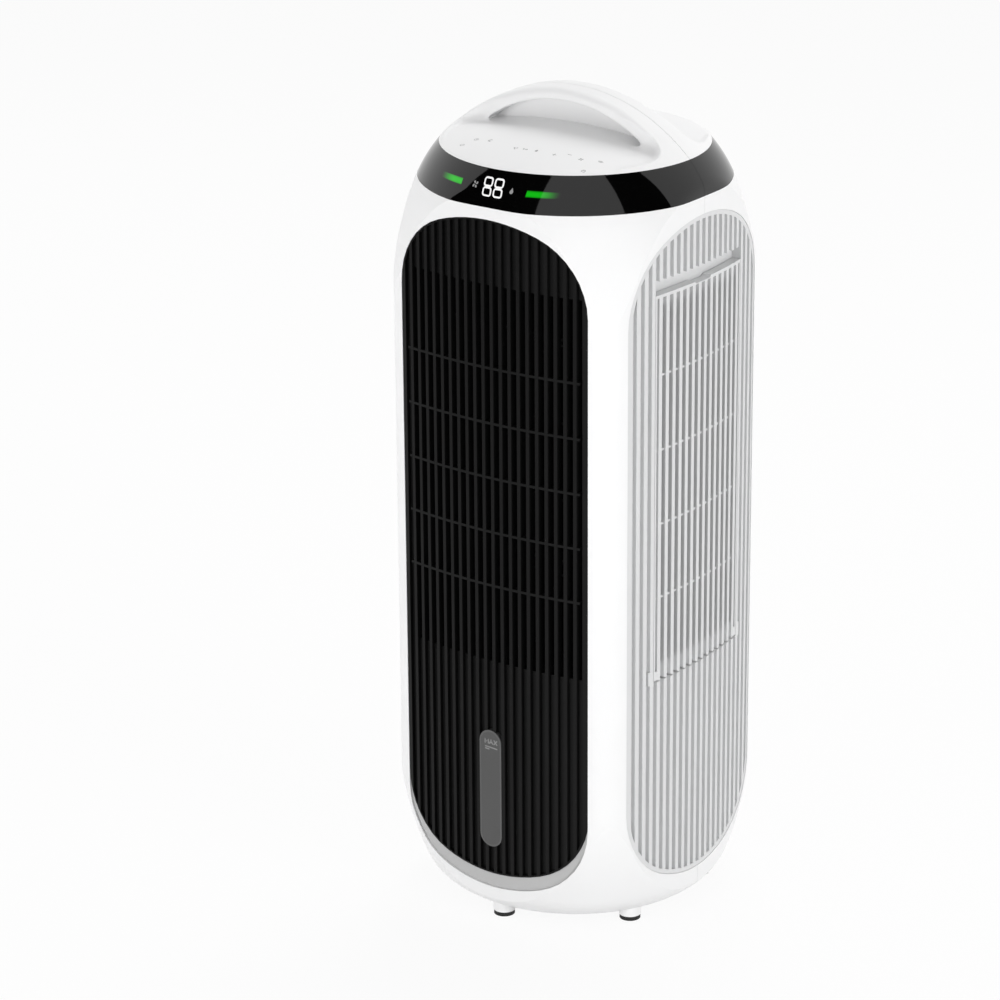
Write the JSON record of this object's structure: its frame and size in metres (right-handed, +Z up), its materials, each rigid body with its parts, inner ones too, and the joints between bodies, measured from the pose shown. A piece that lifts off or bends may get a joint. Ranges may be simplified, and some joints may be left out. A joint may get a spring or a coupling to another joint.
{
  "type": "tower air purifier",
  "caption": "Tall rounded-square tower that draws air through ribbed side filters and blows it out of a louvred front, with a water drawer and a carrying handle.",
  "frame": {"origin": "centre of the footprint on the floor, under the feet", "axes": "+Z up, -Y towards the front air outlet, +X towards the right-hand intake panel"},
  "size_m": [0.296, 0.296, 0.824],
  "materials": {
    "casing": "satin",
    "base": "fine texture",
    "band": "high gloss",
    "outlet": "satin",
    "sill": "satin",
    "window": "smoked, satin",
    "intake": "satin",
    "mesh": "woven",
    "pad": "corrugated",
    "inner": "moulded",
    "duct": "moulded",
    "motor": "satin",
    "shaft": "ground",
    "bearing": "sintered",
    "tank": "translucent, clear gloss",
    "pipe": "satin",
    "board": "solder mask",
    "rubber": "matte",
    "screw": "plated"
  },
  "bodies": {
    "casing": {"front_shell": "casing", "rear_shell": "casing", "top_front": "casing", "top_rear": "casing", "band_front": "band", "band_rear": "band", "front_grille": "outlet", "front_sill": "sill", "level_window": "window", "side_panel_left": "intake", "side_panel_right": "intake", "cooling_pad_left": "pad", "cooling_pad_right": "pad", "pad_tray_left": "inner", "pad_tray_right": "inner", "louvre_frame": "outlet", "swing_motor": "motor", "blower_motor": "motor", "motor_mount": "duct", "shaft_bearing": "bearing", "scroll_wall": "duct", "tongue_wall": "duct", "tank_deck": "inner", "fan_deck": "inner", "top_deck": "inner", "base_plate": "base", "foot_pads": "rubber", "riser_pipe": "pipe", "display_bracket": "inner", "display_board": "board", "control_board": "board", "cord_grommet": "rubber", "deck_screws": "screw", "base_screws": "screw"},
    "filter_door_left": {"filter_door_left": "intake", "filter_mesh_left": "mesh"},
    "filter_door_right": {"filter_door_right": "intake", "filter_mesh_right": "mesh"},
    "blower": {"blower_wheel": "duct", "blower_shaft": "shaft"},
    "tank": {"water_tank": "tank", "drawer_front": "casing", "water_pump": "duct"},
    "louvre_link": {"louvre_link": "outlet"},
    "louvre_1": {"louvre_1": "outlet"},
    "louvre_2": {"louvre_2": "outlet"},
    "louvre_3": {"louvre_3": "outlet"},
    "louvre_4": {"louvre_4": "outlet"},
    "louvre_5": {"louvre_5": "outlet"},
    "louvre_6": {"louvre_6": "outlet"}
  },
  "joints": [
    {"name": "right_door_tilt", "type": "hinge", "parent": "casing", "child": "filter_door_right", "pos_m": [0.13946, 0, 0.271], "axis": [0, 1, 0], "range_deg": [0, 16]},
    {"name": "left_door_tilt", "type": "hinge", "parent": "casing", "child": "filter_door_left", "pos_m": [-0.13946, 0, 0.271], "axis": [0, -1, 0], "range_deg": [0, 16]},
    {"name": "blower_spin", "type": "hinge", "parent": "casing", "child": "blower", "pos_m": [0, 0.008, 0.45], "axis": [0, 0, 1], "continuous": true},
    {"name": "tank_slide", "type": "slide", "parent": "casing", "child": "tank", "axis": [0, 1, 0], "range_m": [0, 0.2]},
    {"name": "louvre_1_swing", "type": "hinge", "parent": "casing", "child": "louvre_1", "pos_m": [-0.0775, -0.11, 0.47], "axis": [0, 0, 1], "range_deg": [-30, 30]},
    {"name": "louvre_2_swing", "type": "hinge", "parent": "casing", "child": "louvre_2", "pos_m": [-0.0465, -0.11, 0.47], "axis": [0, 0, 1], "range_deg": [-30, 30]},
    {"name": "louvre_3_swing", "type": "hinge", "parent": "casing", "child": "louvre_3", "pos_m": [-0.0155, -0.11, 0.47], "axis": [0, 0, 1], "range_deg": [-30, 30]},
    {"name": "louvre_4_swing", "type": "hinge", "parent": "casing", "child": "louvre_4", "pos_m": [0.0155, -0.11, 0.47], "axis": [0, 0, 1], "range_deg": [-30, 30]},
    {"name": "louvre_5_swing", "type": "hinge", "parent": "casing", "child": "louvre_5", "pos_m": [0.0465, -0.11, 0.47], "axis": [0, 0, 1], "range_deg": [-30, 30]},
    {"name": "louvre_6_swing", "type": "hinge", "parent": "casing", "child": "louvre_6", "pos_m": [0.0775, -0.11, 0.47], "axis": [0, 0, 1], "range_deg": [-30, 30]},
    {"name": "link_slide", "type": "slide", "parent": "casing", "child": "louvre_link", "axis": [1, 0, 0], "range_m": [-0.0056, 0.0056]}
  ],
  "couplings": [
    {"joint": "louvre_1_swing", "follows": "louvre_3_swing", "ratio": 1},
    {"joint": "louvre_2_swing", "follows": "louvre_3_swing", "ratio": 1},
    {"joint": "louvre_4_swing", "follows": "louvre_3_swing", "ratio": 1},
    {"joint": "louvre_5_swing", "follows": "louvre_3_swing", "ratio": 1},
    {"joint": "louvre_6_swing", "follows": "louvre_3_swing", "ratio": 1},
    {"joint": "link_slide", "follows": "louvre_3_swing", "m_per_rad": -0.010504}
  ]
}
